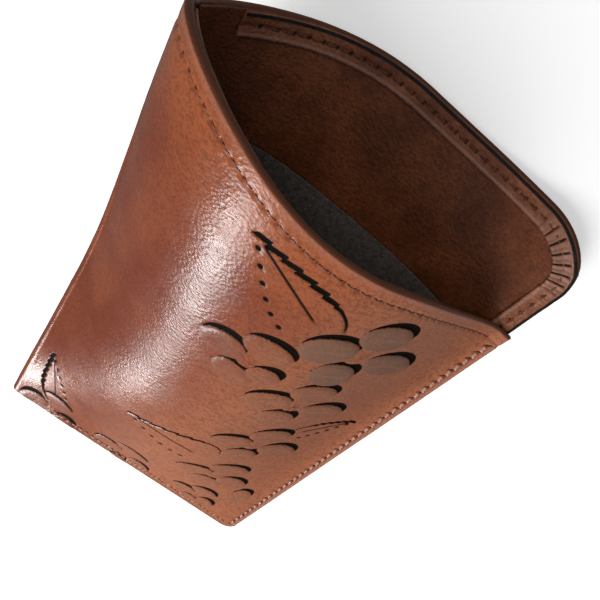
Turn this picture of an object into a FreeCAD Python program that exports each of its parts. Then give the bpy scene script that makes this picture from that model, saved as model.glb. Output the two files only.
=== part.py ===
"""Leather spectacle slip case, open at the mouth, with a lip that stands past the front panel.

Frame: millimetres, +Z up. The case lies on its back panel with the mouth toward -Y, the stitched
side seam on -X and the folded side on +X. The origin is the middle of its footprint.

One sheet of leather makes the back, the fold and the front. A point of it is named by its place
round the case, "lap", which runs 0 at the seam edge of the back, 1 at the fold and 2 at the seam
edge of the front, and by "run", its distance from the bottom edge towards the mouth.
"""
import FreeCAD, Part
import math
import os

os.makedirs("parts", exist_ok=True)
Vector = FreeCAD.Vector

# Driving dimensions
LENGTH = 151.5            # bottom edge to the top of the lip
FRONT_LENGTH = 130.0      # bottom edge to the middle of the front's mouth edge
FRONT_SIDE_LENGTH = 124.0  # bottom edge to the front's mouth edge at the seam
WIDTH_BOTTOM = 84.7       # seam stitch line to fold, at the bottom, before the fold's rounding
WIDTH_MOUTH = 91.0        # the same at the top of the lip
BOTTOM_SLANT = 1.6        # how much shorter the case is at the seam than at the fold
BOTTOM_CORNER = 4.0       # radius of the bottom corner at the seam
SEAM_ALLOWANCE = 3.1      # stitch line to cut edge
STACK = 4.0               # thickness of the case where it is stitched flat
FRONT_CROWN = 26.3        # how far the front arches up at the mouth
FRONT_CROWN_BOTTOM = 1.18  # the same arch near the bottom, as a share of it before it tapers in
CROWN_RUN = 47.0          # distance over which the arch rises from the bottom seam
BACK_BOW = 5.7            # how far the back's edges curl up at the mouth
FOLD_LIFT = 22.0          # how much further the fold rises at the mouth, where it is pushed open
FOLD_OPENS_AT = 59.0      # distance from the bottom where the fold starts to open
LIP_CORNER = (16.0, 12.5)  # the lip's rounded corner, across and along
STEP_BACK = 42.5          # the mouth edge starts down from the lip this far before the fold
STEP_FRONT = 43.5         # and reaches the front's edge this far past it

LEATHER = 1.1
BOARD = 0.35
FELT = 0.43
LAYER_GAP = 0.05          # glue line between layers
FACING = 0.6
HEM = 0.7
HEM_WIDTH = 5.0
FACING_REACH = 32.0       # how far the lip facing runs down inside
FRONT_FACING_REACH = 16.0
FLAT_TRIM = 0.15          # taken off the lowest part of the back, where it lies flat
BOARD_DEPTH = LEATHER + LAYER_GAP               # how deep under the outside each layer starts
FELT_DEPTH = BOARD_DEPTH + BOARD + LAYER_GAP
FACING_DEPTH = LEATHER + LAYER_GAP
HEM_DEPTH = FACING_DEPTH + FACING + LAYER_GAP

STITCH = 0.6              # thread diameter
STITCH_LIFT = 0.02        # the threads lie this far clear of the leather
STITCH_SIDES = 8
STITCH_SHOULDER = 0.16    # share of a stitch's length over which it tapers at each end
MOUTH_STITCH_PITCH = 3.0
MOUTH_STITCH_INSET = 2.9
SIDE_STITCH_PITCH = 2.8
BOTTOM_STITCH_PITCH = 2.4

SEAM_FADE = 1.57          # how gently the panels leave the seam
FOLD_ROUND = 0.68         # how round the fold is at the mouth, where 1 is a crease
CROWN_POWER = 1.3         # how late the arch rises from the bottom seam
ROUNDING = 0.98           # keeps the rounded corners' steepness finite, where 1 is a true round
EDGE_EASE = 0.03          # keeps the rounded fold's steepness finite
NOSE = 0.035              # share of a lap that the rounded fold takes on each side
SEAM_DIP_AT = 0.6         # share of the front's width where its mouth edge starts down to the seam

# Inner pieces: the laps that they span on the back, mirrored on the front, and where they end
BOARD_LAPS = (0.12, 0.70)
BOARD_START = 9.0
BACK_BOARD_END = 112.0
FRONT_BOARD_END = 104.0
FELT_LAPS = (0.01, 0.85)
FELT_START = 0.6          # beyond the bottom edge of the leather
FACING_LAPS = (0.02, 0.96)
FACING_ARCH = 16.0        # how strongly the lip facing's lower edge curves
FACING_ARCH_LAP = 0.42    # where that edge is highest
EDGE_GAP = 0.4            # how far the inner pieces stay back from the leather's edge
HEM_TO_FOLD = 4.0         # the lip's hem stops this far before the fold
FRONT_HEM_LAPS = (1.05, 1.95)

# Stitch rows: where each starts and ends
SIDE_ROW = (5.0, FRONT_SIDE_LENGTH - 2.0)
BOTTOM_ROW_INSET = 2.0
BOTTOM_ROW_LAPS = (1.96, 1.17)
MOUTH_ROW_LAPS = (1.96, 1.04)
LIP_ROW = (0.02, 0.98)
STITCH_COVER = 0.82       # share of the pitch that the thread shows

# Modelling grids, across and along, and tolerances
LEATHER_GRID = (104, 24)
BOARD_GRID = (24, 12)
FELT_GRID = (48, 16)
LIP_FACING_GRID = (72, 12)
FRONT_FACING_GRID = (60, 8)
HEM_GRID = (60, 4)
BORDER_PIECES = 6         # each border of a sheet is ruled in this many short pieces
SEW_TOLERANCE = 1e-3
ROOM = 400.0              # a box larger than the case


def smooth(t):
    t = min(max(t, 0.0), 1.0)
    return t * t * (3 - 2 * t)


def section(run):
    """The width, front arch, bow and fold opening of the case at a distance from the bottom."""
    share = run / LENGTH
    opening = smooth((run - FOLD_OPENS_AT) / (LENGTH - FOLD_OPENS_AT))
    width = WIDTH_BOTTOM + (WIDTH_MOUTH - WIDTH_BOTTOM) * share - (1 - opening) * STACK / 2
    past_seam = max(run - SEAM_ALLOWANCE, 0.0)
    rise = 1 - math.exp(-(past_seam / CROWN_RUN) ** CROWN_POWER)
    crown = FRONT_CROWN * rise * (FRONT_CROWN_BOTTOM + (1 - FRONT_CROWN_BOTTOM) * share)
    return width, crown, BACK_BOW * share, opening


def hump(fall, power):
    """A share from 0 at the panel's edge to 1, steeper at the edge as the power drops."""
    fall = max(fall, 0.0)
    if power >= 1:
        return fall ** power
    return fall * ((fall + EDGE_EASE) / (1 + EDGE_EASE)) ** (power - 1)


def panel_point(across, run, front):
    """A point of the outside, where across is 1 at the seam stitches and -1 at the fold.

    Past 1 it runs over the seam allowance, in millimetres past 1.
    """
    width, crown, bow, opening = section(run)
    s = min(across, 1.0)
    lift = FOLD_LIFT * opening
    power = SEAM_FADE if s > 0 else 1 + (FOLD_ROUND - 1) * opening
    x = WIDTH_BOTTOM / 2 - width * (1 - s) / 2 + max(across - 1.0, 0.0)
    if front:
        z = STACK + bow + lift * (1 - s) / 2 + crown * hump(1 - s * s, power)
    else:
        edge = bow if s > 0 else bow + lift
        z = edge * (1 - hump(1 - s ** 4, power))
    return x, z


def outside(lap, run):
    """A point of the outside surface, before it is turned into the case's own frame."""
    opening = section(run)[3]
    side = lap if lap <= 1 else 2 - lap
    if side >= 1 - NOSE:
        turn = (lap - 1) / NOSE * math.pi / 2
        x, z_back = panel_point(-1.0, run, False)
        middle = z_back + STACK / 2
        x -= (1 - opening) * STACK / 2 * math.cos(turn)
        return Vector(x, run, middle + STACK / 2 * math.sin(turn))
    edge = SEAM_ALLOWANCE / (SEAM_ALLOWANCE + WIDTH_BOTTOM) * (1 - NOSE)
    if side <= edge:
        across = 1 + SEAM_ALLOWANCE * (1 - side / edge)
    else:
        left = (1 - NOSE - side) / (1 - NOSE - edge)
        share = left + opening * (left * left * (2 - left) - left)
        across = 2 * share - 1
    x, z = panel_point(across, run, lap > 1)
    return Vector(x, run, z)


def from_seam(lap):
    """Flat distance of a place from the seam edge, measured at the mouth."""
    side = lap if lap <= 1 else 2 - lap
    return abs(outside(0, LENGTH).x - outside(side, LENGTH).x)


def top(lap):
    """How far the leather reaches: the lip, its corner, and the step down to the front."""
    flat = SEAM_ALLOWANCE + WIDTH_MOUTH
    to_fold = flat - from_seam(lap)
    past = -to_fold if lap <= 1 else to_fold
    run = LENGTH - (LENGTH - FRONT_LENGTH) * smooth((past + STEP_BACK) / (STEP_BACK + STEP_FRONT))
    if lap > 1:
        dip = smooth((to_fold / flat - SEAM_DIP_AT) / (1 - SEAM_DIP_AT))
        return run - (FRONT_LENGTH - FRONT_SIDE_LENGTH) * dip
    across, along = LIP_CORNER
    inset = from_seam(lap)
    if inset < across:
        run -= along - along * math.sqrt(1 - (ROUNDING * (across - inset) / across) ** 2)
    return run


def bottom(lap):
    """Where the leather starts: a slanted edge with a rounded corner at the seam."""
    inset = from_seam(lap)
    start = BOTTOM_SLANT * (1 - inset / (SEAM_ALLOWANCE + WIDTH_MOUTH))
    if inset < BOTTOM_CORNER:
        short = ROUNDING * (BOTTOM_CORNER - inset)
        start += BOTTOM_CORNER - math.sqrt(BOTTOM_CORNER ** 2 - short ** 2)
    return start


def normal(lap, run):
    """Unit normal that points out of the case."""
    step = 1e-3
    low, high = max(lap - step, 0.0), min(lap + step, 2.0)
    round_case = outside(high, run) - outside(low, run)
    along = outside(lap, run + step) - outside(lap, max(run - step, 0.0))
    n = round_case.cross(along)
    return n.normalize()


def middle_of_width():
    """Where the middle of the case's width is, between the seam edge and the widest of the fold."""
    seam = WIDTH_BOTTOM / 2 + SEAM_ALLOWANCE
    half_span, steps = 0.2, 40
    laps = [1 - half_span + 2 * half_span * i / steps for i in range(steps + 1)]
    fold = min(outside(lap, top(lap)).x for lap in laps)
    return (seam + fold) / 2


MIDDLE = middle_of_width()


def place(lap, run, depth):
    """A point at a depth under the outside surface, in the case's own frame."""
    p = outside(lap, run) - normal(lap, run) * depth
    return Vector(MIDDLE - p.x, LENGTH / 2 - p.y, p.z - FLAT_TRIM)


def face_and_borders(rows):
    """The face through a grid of points, and the curves along its four borders."""
    grid = Part.BSplineSurface()
    grid.interpolate(rows)
    u0, u1, v0, v1 = grid.bounds()
    return grid.toShape(), [grid.uIso(u0), grid.uIso(u1), grid.vIso(v0), grid.vIso(v1)]


def stretch(curve, start, end):
    """Part of a curve as an edge, between two shares of its parameter."""
    low, high = curve.FirstParameter, curve.LastParameter
    return curve.toShape(low + (high - low) * start, low + (high - low) * end)


def sheet(point, outer, inner, grid):
    """A closed solid between two depths; point(i, j) gives the lap and run of each grid place."""
    across, along = grid
    faces = []
    borders = []
    for depth in (outer, inner):
        rows = []
        for i in range(across + 1):
            rows.append([place(*point(i / across, j / along), depth) for j in range(along + 1)])
        face, curves = face_and_borders(rows)
        faces.append(face)
        borders.append(curves)
    for first, second in zip(*borders):
        for k in range(BORDER_PIECES):
            span = k / BORDER_PIECES, (k + 1) / BORDER_PIECES
            pair = [stretch(curve, *span) for curve in (first, second)]
            faces.append(Part.makeRuledSurface(*pair))
    shell = Part.Shell(faces)
    shell.sewShape(SEW_TOLERANCE)
    solid = Part.Solid(shell)
    if solid.Volume < 0:
        solid.reverse()
    return solid


def above_floor(solid):
    """Trims the back where it lies on the floor, which leaves it one flat face."""
    room = Part.makeBox(ROOM, ROOM, ROOM, Vector(-ROOM / 2, -ROOM / 2, 0))
    return solid.common(room)


def outer_leather():
    def point(i, j):
        lap = 2 * i
        start = bottom(lap)
        return lap, start + (top(lap) - start) * j
    return above_floor(sheet(point, 0.0, LEATHER, LEATHER_GRID))


def panel(laps, low, high, outer, thickness, grid):
    """A sheet on one panel. low and high give its ends along the case from the lap."""
    def point(i, j):
        lap = laps[0] + (laps[1] - laps[0]) * i
        start, end = low(lap), high(lap)
        return lap, start + (end - start) * j
    return sheet(point, outer, outer + thickness, grid)


def on_front(laps):
    """The same stretch of the front as laps is of the back."""
    return 2 - laps[1], 2 - laps[0]


def level(run):
    """An end that is straight across the case."""
    return lambda lap: run


def facing_line(lap):
    """The lower edge of the lip facing, a shallow arch."""
    return LENGTH - FACING_REACH - FACING_ARCH * (lap - FACING_ARCH_LAP) ** 2


def front_facing_line(lap):
    return top(lap) - FRONT_FACING_REACH


def above_bottom(lap):
    """The lower end of the linings, just inside the leather's bottom edge."""
    return bottom(lap) + FELT_START


def under_edge(lap):
    """The upper end of the facings, just short of the leather's edge."""
    return top(lap) - EDGE_GAP


def back_stiffener():
    ends = level(BOARD_START), level(BACK_BOARD_END)
    return panel(BOARD_LAPS, *ends, BOARD_DEPTH, BOARD, BOARD_GRID)


def front_stiffener():
    ends = level(BOARD_START), level(FRONT_BOARD_END)
    return panel(on_front(BOARD_LAPS), *ends, BOARD_DEPTH, BOARD, BOARD_GRID)


def back_lining():
    def end(lap):
        return facing_line(lap) - EDGE_GAP
    return panel(FELT_LAPS, above_bottom, end, FELT_DEPTH, FELT, FELT_GRID)


def front_lining():
    def end(lap):
        return front_facing_line(lap) - EDGE_GAP
    return panel(on_front(FELT_LAPS), above_bottom, end, FELT_DEPTH, FELT, FELT_GRID)


def lip_facing():
    return panel(FACING_LAPS, facing_line, under_edge, FACING_DEPTH, FACING, LIP_FACING_GRID)


def front_facing():
    laps = on_front(FACING_LAPS)
    return panel(laps, front_facing_line, under_edge, FACING_DEPTH, FACING, FRONT_FACING_GRID)


def lap_at(distance):
    """The lap of the back whose flat distance from the seam edge at the mouth is given."""
    low, high = 0.0, 1.0 - NOSE
    for _ in range(40):
        middle = (low + high) / 2
        if from_seam(middle) < distance:
            low = middle
        else:
            high = middle
    return (low + high) / 2


def lip_outline(t, inset):
    """A place inset from the lip's edge: up the seam side, round the corner, along the top."""
    across, along = LIP_CORNER
    straight = LENGTH - FRONT_SIDE_LENGTH - along
    turn = math.pi / 4 * (across + along)
    crossing = SEAM_ALLOWANCE + WIDTH_MOUTH - HEM_TO_FOLD - across
    distance = t * (straight + turn + crossing)
    if distance < straight:
        return lap_at(inset), FRONT_SIDE_LENGTH + distance
    if distance < straight + turn:
        angle = (distance - straight) / turn * math.pi / 2
        x = across - (across - inset) * math.cos(angle)
        return lap_at(x), LENGTH - along + (along - inset) * math.sin(angle)
    x = across + distance - straight - turn
    lap = lap_at(x)
    return lap, top(lap) - inset


def lip_hem():
    """The narrow turned strip that finishes the lip, from the notch at the seam to the fold."""
    def point(i, j):
        return lip_outline(i, EDGE_GAP + j * (HEM_WIDTH - EDGE_GAP))
    return sheet(point, HEM_DEPTH, HEM_DEPTH + HEM, HEM_GRID)


def front_hem():
    """The narrow turned strip inside the front's mouth edge."""
    def high(lap):
        return top(lap) - EDGE_GAP

    def low(lap):
        return top(lap) - HEM_WIDTH
    return panel(FRONT_HEM_LAPS, low, high, HEM_DEPTH, HEM, HEM_GRID)


def flat_face(points):
    return Part.Face(Part.makePolygon(points + points[:1]))


def stitch(start, end):
    """One visible stitch: a faceted thread that comes to a point where it dives at each end."""
    along = end - start
    length = along.Length
    shoulder = length * STITCH_SHOULDER
    tips = Vector(0, 0, 0), Vector(0, 0, length)
    angles = [2 * math.pi * k / STITCH_SIDES for k in range(STITCH_SIDES + 1)]
    rims = [[Vector(STITCH / 2 * math.cos(a), STITCH / 2 * math.sin(a), z) for a in angles]
            for z in (shoulder, length - shoulder)]
    faces = []
    for low, high in zip(zip(*rims), list(zip(*rims))[1:]):
        faces.append(flat_face([low[0], high[0], high[1], low[1]]))
        faces.append(flat_face([tips[0], high[0], low[0]]))
        faces.append(flat_face([tips[1], low[1], high[1]]))
    thread = Part.Solid(Part.Shell(faces))
    turn = FreeCAD.Rotation(Vector(0, 0, 1), along)
    thread.Placement = FreeCAD.Placement(start, turn)
    return thread


def stitch_row(path, pitch):
    """Stitches along path(t), t from 0 to 1, evenly spaced by length."""
    steps = 400
    samples = [path(i / steps) for i in range(steps + 1)]
    lengths = [0.0]
    for a, b in zip(samples, samples[1:]):
        lengths.append(lengths[-1] + (b - a).Length)

    def at(distance):
        i = max(k for k in range(steps) if lengths[k] <= distance)
        share = (distance - lengths[i]) / (lengths[i + 1] - lengths[i])
        return samples[i] + (samples[i + 1] - samples[i]) * share

    starts = [i * pitch for i in range(int(lengths[-1] // pitch))]
    return Part.makeCompound([stitch(at(d), at(d + pitch * STITCH_COVER)) for d in starts])


def between(ends, t):
    return ends[0] + (ends[1] - ends[0]) * t


def allowance_lap(inset):
    """The lap of the back at a small distance in from the cut edge, on the seam allowance."""
    edge = SEAM_ALLOWANCE / (SEAM_ALLOWANCE + WIDTH_BOTTOM) * (1 - NOSE)
    return edge * inset / SEAM_ALLOWANCE


ON_TOP = -(STITCH / 2 + STITCH_LIFT)


def side_seam_stitching():
    lap = 2 - allowance_lap(SEAM_ALLOWANCE / 2)
    return stitch_row(lambda t: place(lap, between(SIDE_ROW, t), ON_TOP), SIDE_STITCH_PITCH)


def bottom_seam_stitching():
    def path(t):
        lap = between(BOTTOM_ROW_LAPS, t)
        return place(lap, bottom(lap) + BOTTOM_ROW_INSET, ON_TOP)
    return stitch_row(path, BOTTOM_STITCH_PITCH)


def mouth_stitching():
    def path(t):
        lap = between(MOUTH_ROW_LAPS, t)
        return place(lap, top(lap) - MOUTH_STITCH_INSET, ON_TOP)
    return stitch_row(path, MOUTH_STITCH_PITCH)


def lip_stitching():
    def path(t):
        lap, run = lip_outline(between(LIP_ROW, t), MOUTH_STITCH_INSET)
        return place(lap, run, HEM_DEPTH + HEM - ON_TOP)
    return stitch_row(path, MOUTH_STITCH_PITCH)


PARTS = [
    outer_leather, back_stiffener, front_stiffener, back_lining, front_lining, lip_facing,
    front_facing, lip_hem, front_hem, side_seam_stitching, bottom_seam_stitching,
    mouth_stitching, lip_stitching,
]

for make in PARTS:
    shape = make()
    box = shape.BoundBox
    print(make.__name__, "valid" if shape.isValid() else "INVALID", len(shape.Solids), "solids",
          "volume %.1f" % shape.Volume, "box %.2f %.2f %.2f to %.2f %.2f %.2f" % (
              box.XMin, box.YMin, box.ZMin, box.XMax, box.YMax, box.ZMax))
    shape.exportStep("parts/" + make.__name__ + ".step")
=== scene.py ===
"""The looks of a leather spectacle slip case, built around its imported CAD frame.

Sizes are in millimetres, as in the part's own source, and MM turns them into metres where a mesh or
a lamp is made. A point of the leather is named by "lap", its place round the case (0 at the seam
edge of the back, 1 at the fold, 2 at the seam edge of the front), and by "run", its distance from
the bottom edge towards the mouth. Depths are measured inwards from the outside of the leather.
"""
import math

import bpy
import numpy as np
from mathutils import Matrix, Vector, noise


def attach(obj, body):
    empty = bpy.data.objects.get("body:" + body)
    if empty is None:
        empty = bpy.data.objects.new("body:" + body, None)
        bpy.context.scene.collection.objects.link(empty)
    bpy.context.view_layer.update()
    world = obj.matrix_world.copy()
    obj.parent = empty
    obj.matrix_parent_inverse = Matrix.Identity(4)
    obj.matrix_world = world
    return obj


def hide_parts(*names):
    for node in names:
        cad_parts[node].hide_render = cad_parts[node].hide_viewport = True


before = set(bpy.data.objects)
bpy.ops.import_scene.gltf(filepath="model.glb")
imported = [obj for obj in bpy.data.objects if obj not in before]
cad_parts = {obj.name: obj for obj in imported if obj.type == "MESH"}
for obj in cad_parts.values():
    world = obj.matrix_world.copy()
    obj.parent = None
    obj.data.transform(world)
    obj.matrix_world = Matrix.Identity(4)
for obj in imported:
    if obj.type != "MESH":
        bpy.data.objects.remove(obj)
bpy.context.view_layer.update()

MM = 0.001

# The shape of the case, as in the part's own source
LENGTH = 151.5            # bottom edge to the top of the lip
FRONT_LENGTH = 130.0      # bottom edge to the middle of the front's mouth edge
FRONT_SIDE_LENGTH = 124.0  # bottom edge to the front's mouth edge at the seam
WIDTH_BOTTOM = 84.7       # seam stitch line to fold, at the bottom
WIDTH_MOUTH = 91.0        # the same at the top of the lip
BOTTOM_SLANT = 1.6        # how much shorter the case is at the seam than at the fold
BOTTOM_CORNER = 4.0       # radius of the bottom corner at the seam
SEAM_ALLOWANCE = 3.1      # stitch line to cut edge
STACK = 4.0               # thickness of the case where it is stitched flat
FRONT_CROWN = 26.3        # how far the front arches up at the mouth
FRONT_CROWN_BOTTOM = 1.18  # the same arch near the bottom, as a share of it
CROWN_RUN = 47.0          # distance over which the arch rises from the bottom seam
BACK_BOW = 5.7            # how far the back's edges curl up at the mouth
FOLD_LIFT = 22.0          # how much further the fold rises at the mouth
FOLD_OPENS_AT = 59.0      # distance from the bottom where the fold starts to open
LIP_CORNER = (16.0, 12.5)  # the lip's rounded corner, across and along
STEP_BACK = 42.5          # the mouth edge starts down from the lip this far before the fold
STEP_FRONT = 43.5         # and reaches the front's edge this far past it
SEAM_FADE = 1.57          # how gently the panels leave the seam
FOLD_ROUND = 0.68         # how round the fold is at the mouth, where 1 is a crease
CROWN_POWER = 1.3         # how late the arch rises from the bottom seam
ROUNDING = 0.98           # keeps the rounded corners' steepness finite
EDGE_EASE = 0.03          # keeps the rounded fold's steepness finite
NOSE = 0.035              # share of a lap that the rounded fold takes on each side
SEAM_DIP_AT = 0.6         # share of the front's width where its mouth edge starts down
FLAT_TRIM = 0.15          # taken off the lowest part of the back, where it lies flat
ALLOWANCE_LAPS = SEAM_ALLOWANCE / (SEAM_ALLOWANCE + WIDTH_BOTTOM) * (1 - NOSE)

# Layers: how thick each is, how deep it starts, and where it ends
LEATHER = 1.1
FACING = 0.6
HEM = 0.7
FELT = 0.43
LAYER_GAP = 0.05
FACING_DEPTH = LEATHER + LAYER_GAP
FELT_DEPTH = 1.55         # under the leather and its board
HEM_DEPTH = FACING_DEPTH + FACING + LAYER_GAP
FELT_START = 0.6          # beyond the bottom edge of the leather
FACING_REACH = 32.0       # how far the lip facing runs down inside
FACING_ARCH = 16.0        # how strongly its lower edge curves
FACING_ARCH_LAP = 0.42    # where that edge is highest
FRONT_FACING_REACH = 16.0
HEM_WIDTH = 5.0
FELT_LAPS = (0.01, 0.85)
FACING_LAPS = (0.02, 0.96)
FRONT_HEM_LAPS = (1.05, 1.95)
HEM_TO_FOLD = 4.0         # the lip's hem stops this far before the fold
EDGE_GAP = 0.4            # how far the inner pieces stay back from the leather's edge

# Stitches: thread sizes, pitches, and where each row starts and ends
FINE_THREAD = 0.5
BOTTOM_THREAD = 0.62
SIDE_THREAD = 0.95
MOUTH_PITCH = 3.0
SIDE_PITCH = 2.8
BOTTOM_PITCH = 2.4
STITCH_COVER = 0.84       # share of the pitch that the thread shows
STITCH_ARCH = 0.42        # how far a stitch arches up, as a share of the thread's size
SIDE_SLANT = 0.12         # how far each end of a side stitch leans, as a share of the allowance
MOUTH_INSET = 2.9
MOUTH_ROW_LAPS = (1.96, 1.04)
BOTTOM_ROW_LAPS = (1.96, 1.17)
BOTTOM_ROW_INSET = 2.0
SIDE_ROW = (5.0, FRONT_SIDE_LENGTH - 2.0)
LIP_ROW = (0.02, 0.98)


# ---------------------------------------------------------------- shape of the leather

def smooth(t):
    t = np.clip(t, 0.0, 1.0)
    return t * t * (3 - 2 * t)


def section(run):
    """The width, front arch, bow and fold opening of the case at a distance from the bottom."""
    share = run / LENGTH
    opening = smooth((run - FOLD_OPENS_AT) / (LENGTH - FOLD_OPENS_AT))
    width = WIDTH_BOTTOM + (WIDTH_MOUTH - WIDTH_BOTTOM) * share - (1 - opening) * STACK / 2
    past_seam = np.maximum(run - SEAM_ALLOWANCE, 0.0)
    rise = 1 - np.exp(-(past_seam / CROWN_RUN) ** CROWN_POWER)
    crown = FRONT_CROWN * rise * (FRONT_CROWN_BOTTOM + (1 - FRONT_CROWN_BOTTOM) * share)
    return width, crown, BACK_BOW * share, opening


def hump(fall, power):
    """A share from 0 at the panel's edge to 1, steeper at the edge as the power drops."""
    fall = np.maximum(fall, 0.0)
    eased = fall * ((fall + EDGE_EASE) / (1 + EDGE_EASE)) ** (power - 1)
    return np.where(power >= 1, fall ** power, eased)


def panel_point(across, run, front):
    """x and z of the outside, where across is 1 at the seam stitches and -1 at the fold."""
    width, crown, bow, opening = section(run)
    s = np.minimum(across, 1.0)
    lift = FOLD_LIFT * opening
    power = np.where(s > 0, SEAM_FADE, 1 + (FOLD_ROUND - 1) * opening)
    x = WIDTH_BOTTOM / 2 - width * (1 - s) / 2 + np.maximum(across - 1.0, 0.0)
    z_front = STACK + bow + lift * (1 - s) / 2 + crown * hump(1 - s * s, power)
    z_back = np.where(s > 0, bow, bow + lift) * (1 - hump(1 - s ** 4, power))
    return x, np.where(front, z_front, z_back)


def across_at(lap, run):
    opening = section(run)[3]
    side = np.where(lap <= 1, lap, 2 - lap)
    left = np.clip((1 - NOSE - side) / (1 - NOSE - ALLOWANCE_LAPS), 0, 1)
    share = left + opening * (left * left * (2 - left) - left)
    on_allowance = 1 + SEAM_ALLOWANCE * (1 - side / ALLOWANCE_LAPS)
    return np.where(side <= ALLOWANCE_LAPS, on_allowance, 2 * share - 1)


def outside(lap, run):
    """A point of the outside surface, before it is turned into the frame of the part."""
    lap, run = np.broadcast_arrays(np.asarray(lap, float), np.asarray(run, float))
    opening = section(run)[3]
    x, z = panel_point(across_at(lap, run), run, lap > 1)
    turn = np.clip((lap - 1) / NOSE, -1, 1) * math.pi / 2
    x_fold, z_fold = panel_point(-1.0, run, False)
    x_fold = x_fold - (1 - opening) * STACK / 2 * np.cos(turn)
    z_fold = z_fold + STACK / 2 * (1 + np.sin(turn))
    nose = np.abs(lap - 1) <= NOSE
    return np.stack([np.where(nose, x_fold, x), run, np.where(nose, z_fold, z)], -1)


def from_seam(lap):
    """Flat distance of a place from the seam edge, measured at the mouth."""
    side = np.where(lap <= 1, lap, 2 - lap)
    return np.abs(outside(0.0, LENGTH)[..., 0] - outside(side, LENGTH)[..., 0])


def top(lap):
    """How far the leather reaches: the lip, its corner, and the step down to the front."""
    flat = SEAM_ALLOWANCE + WIDTH_MOUTH
    inset = from_seam(lap)
    to_fold = flat - inset
    past = np.where(lap <= 1, -to_fold, to_fold)
    run = LENGTH - (LENGTH - FRONT_LENGTH) * smooth((past + STEP_BACK) / (STEP_BACK + STEP_FRONT))
    dip = smooth((to_fold / flat - SEAM_DIP_AT) / (1 - SEAM_DIP_AT))
    front = run - (FRONT_LENGTH - FRONT_SIDE_LENGTH) * dip
    across, along = LIP_CORNER
    short = ROUNDING * np.clip((across - inset) / across, 0, 1)
    return np.where(lap > 1, front, run - along + along * np.sqrt(1 - short ** 2))


def bottom(lap):
    """Where the leather starts: a slanted edge with a rounded corner at the seam."""
    inset = from_seam(lap)
    short = ROUNDING * np.clip(BOTTOM_CORNER - inset, 0, None)
    round_off = BOTTOM_CORNER - np.sqrt(BOTTOM_CORNER ** 2 - short ** 2)
    return BOTTOM_SLANT * (1 - inset / (SEAM_ALLOWANCE + WIDTH_MOUTH)) + round_off


def normal(lap, run):
    """Unit normal that points out of the case."""
    step = 1e-3
    low, high = np.maximum(lap - step, 0.0), np.minimum(lap + step, 2.0)
    round_case = outside(high, run) - outside(low, run)
    along = outside(lap, run + step) - outside(lap, np.maximum(run - step, 0.0))
    n = np.cross(round_case, along)
    return n / np.linalg.norm(n, axis=-1, keepdims=True)


def middle_of_width():
    laps = np.linspace(0.8, 1.2, 41)
    return (WIDTH_BOTTOM / 2 + SEAM_ALLOWANCE + outside(laps, top(laps))[:, 0].min()) / 2


MIDDLE = middle_of_width()


def place(lap, run, depth):
    """A point at a depth under the outside surface, in the frame of the part."""
    lap, run, depth = np.broadcast_arrays(*(np.asarray(v, float) for v in (lap, run, depth)))
    p = outside(lap, run) - normal(lap, run) * depth[..., None]
    z = np.maximum(p[..., 2] - FLAT_TRIM, 0.0)
    return np.stack([MIDDLE - p[..., 0], LENGTH / 2 - p[..., 1], z], -1)


def from_stitch_line(lap, run):
    """Distance over the curved front from the seam's stitch line, at the same run."""
    steps = 48
    across = np.minimum(across_at(lap, run), 1.0)
    share = np.linspace(0, 1, steps + 1)
    x, z = panel_point(1 - (1 - across[..., None]) * share, run[..., None], True)
    distance = np.hypot(np.diff(x, axis=-1), np.diff(z, axis=-1)).sum(-1)
    beyond = np.maximum(across_at(lap, run) - 1, 0.0)
    return distance - beyond


def wavy(points, wavelength, seed):
    """Smooth noise from about -1 to 1 at each point."""
    spots = (points.reshape(-1, 3) / wavelength + seed).tolist()
    return np.reshape([noise.fractal(p, 1.0, 2.0, 3) for p in spots], points.shape[:-1])


# ---------------------------------------------------------------- floral tooling of the front
# Places on the front: distance from the seam's stitch line, and run.

# Flowers: place, size, and stretch of the petal on the seam side
FLOWERS = [
    (36.5, 109.4, 1.10, 1.60), (53.8, 95.4, 0.88, 0.80), (33.5, 84.8, 1.00, 1.55),
    (26.0, 58.8, 1.00, 1.30), (20.6, 30.6, 1.00, 0.95), (15.5, 8.6, 0.70, 0.80),
    (42.6, 4.6, 0.90, 0.85), (70.5, 1.6, 0.85, 0.90),
]
# Petals: offset of the middle, half length, half width, tilt, and how far its cut stays away
PETALS = [
    (-0.6, 7.2, 6.8, 4.1, 5.0, 1.4), (7.4, 0.2, 5.9, 4.3, -12.0, 1.2),
    (-7.4, -2.2, 5.6, 3.8, 13.0, 1.2), (-0.2, -7.3, 6.0, 4.2, 18.0, 1.8),
]
SEAM_SIDE = -2.0          # a petal whose middle is offset by less is on the seam side
BUD = (5.4, 20.5, 3.4, 5.4)  # place, half length, half width
BUD_LEANS = (4.0, 5.0)    # from the bud to the flower that it belongs to
BUD_CLEARANCE = 1.0
# Leaves: base, tip, half widths on the cut and the dotted side, bow of the rib, and side of the cut
LEAVES = [
    (47.5, 112.5, 73.5, 124.5, 5.6, 6.5, 0.5, 1), (70.0, 6.5, 82.5, 30.0, 3.6, 4.6, -1.0, -1),
    (29.5, 43.0, 57.5, 43.5, 11.0, 4.5, 3.0, 1), (22.5, 68.0, 3.0, 77.0, 2.8, 5.0, -0.6, -1),
]
LEAF_CUT = (0.5, 0.8)     # width of a leaf's cut near its base, and what it gains further on
CUT_WIDTH = 1.9
CUT_DEPTH = 0.34
CUT_FACES = (0.42, 0.91)  # the cuts, dark partly with dye and partly with painted shadow, lie on the petals' sides that face this way
CUT_LEAST = 0.12          # a cut narrower than this isn't darkened
HAIR_WIDTH = 0.15
MARK_FEATHER = 0.9         # a mark's ink-and-shadow value falls from 1 to 0 over this distance
LEAF_TEETH = 9
TOOTH = 0.75
# The leaf's dots are painted shadows in the notches of its far edge.
LEAF_DOTS = 6
DOTS_FROM, DOTS_OVER = 0.26, 0.62  # where the dots start along a leaf, and how far they run
DOT_RADIUS = 0.42
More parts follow.
